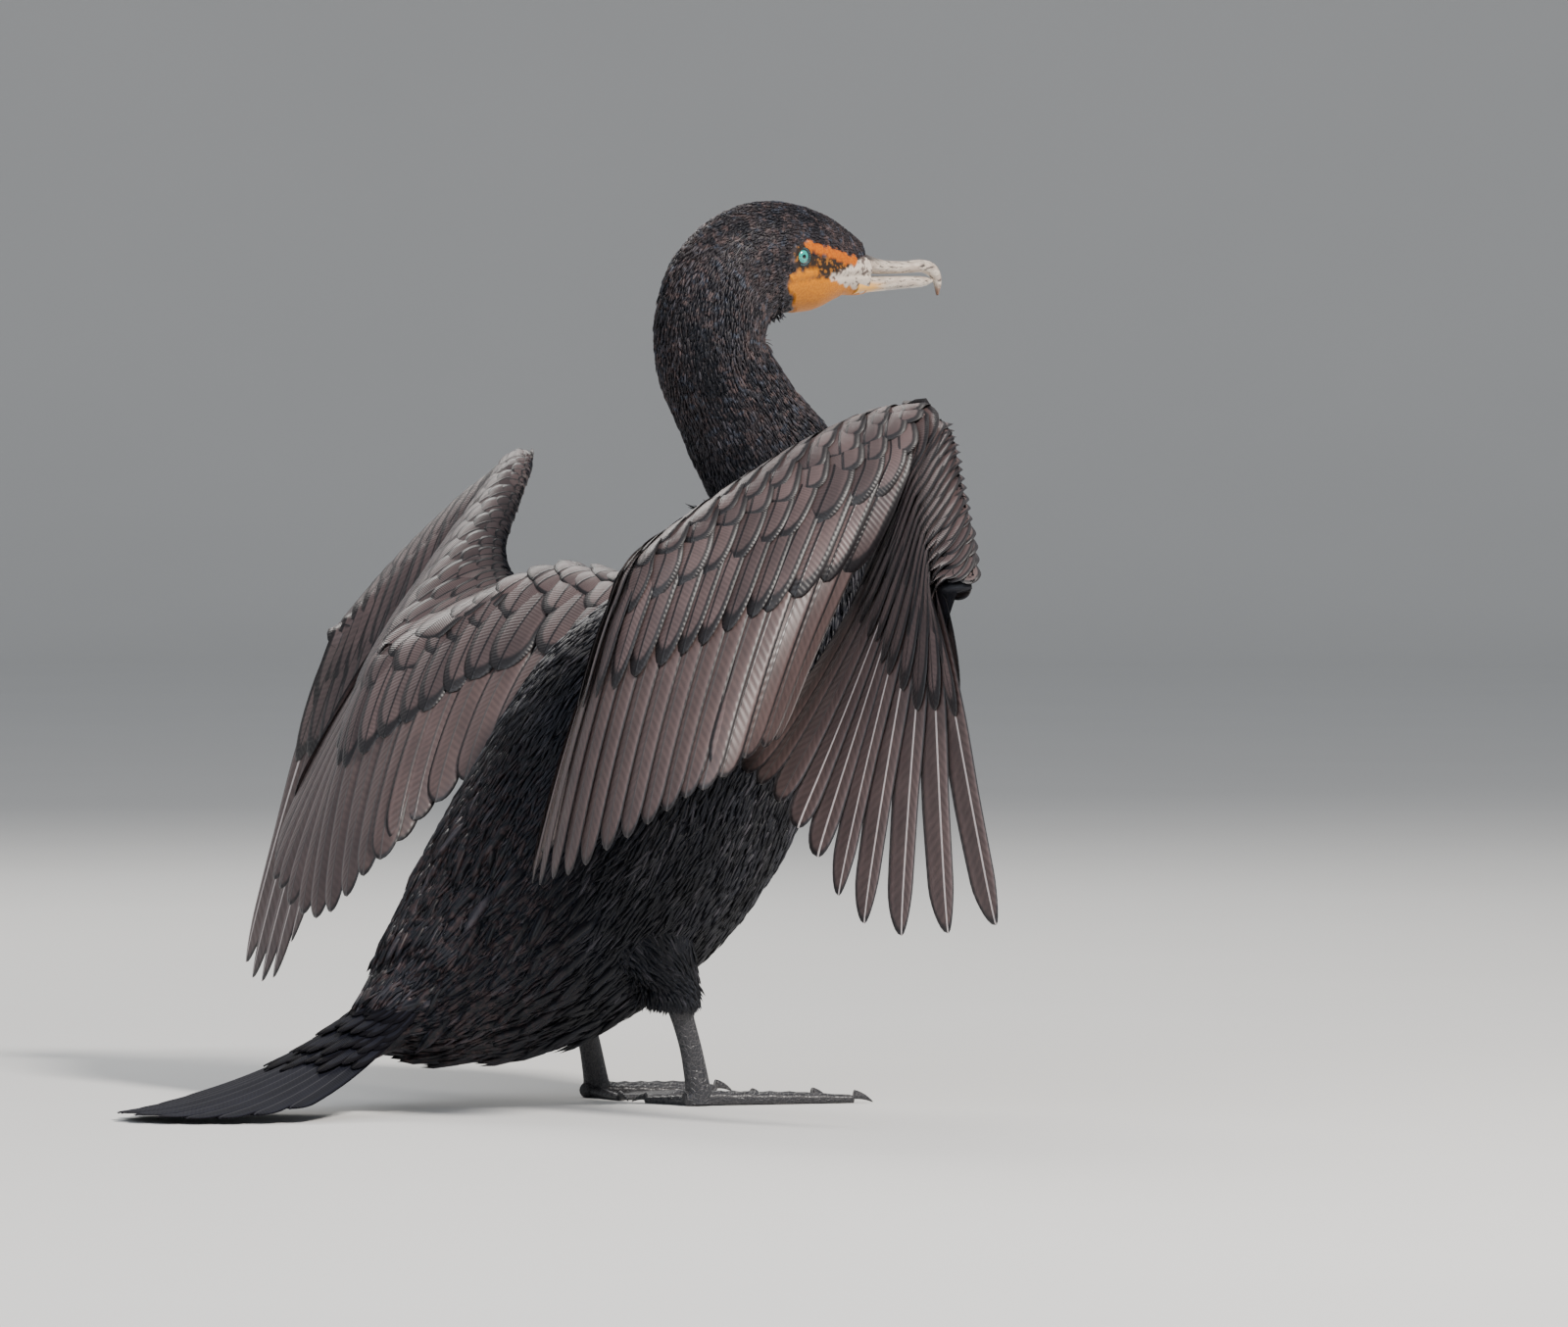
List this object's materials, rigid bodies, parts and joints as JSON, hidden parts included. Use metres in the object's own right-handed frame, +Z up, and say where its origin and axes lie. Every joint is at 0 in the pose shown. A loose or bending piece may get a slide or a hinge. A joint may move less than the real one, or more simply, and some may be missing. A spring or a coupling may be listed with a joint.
{
  "type": "double-crested cormorant",
  "caption": "Still, life-size model of a double-crested cormorant standing with its wings half spread to dry",
  "frame": {"origin": "the middle of the bird's bounding box, on the floor that its feet stand on", "axes": "+X ahead, the way the bird and its bill face; +Y out along its left wing, the longest way across; +Z up"},
  "size_m": [0.52, 0.7056, 0.4786],
  "materials": {
    "plumage": "short black feathers with a faint blue sheen",
    "wing": "brown-grey feathers with black glossy margins",
    "tail": "stiff blue-black feathers",
    "bill": "satin pale horn",
    "pouch": "bare orange-yellow skin",
    "eye": "wet gloss",
    "foot": "scaly blue-black skin"
  },
  "bodies": {
    "root": {"torso": "plumage", "neck_lower": "plumage", "neck_middle": "plumage", "neck_upper": "plumage", "head": "plumage", "gular_pouch": "pouch", "bill_upper": "bill", "bill_lower": "bill", "eye_r": "eye", "eye_l": "eye", "leg_r": "plumage", "leg_l": "plumage", "foot_r": "foot", "foot_l": "foot", "wing_r_inner": "wing", "wing_r_hand": "wing", "wing_l_inner": "wing", "wing_l_hand": "wing", "tail": "tail"}
  },
  "joints": []
}
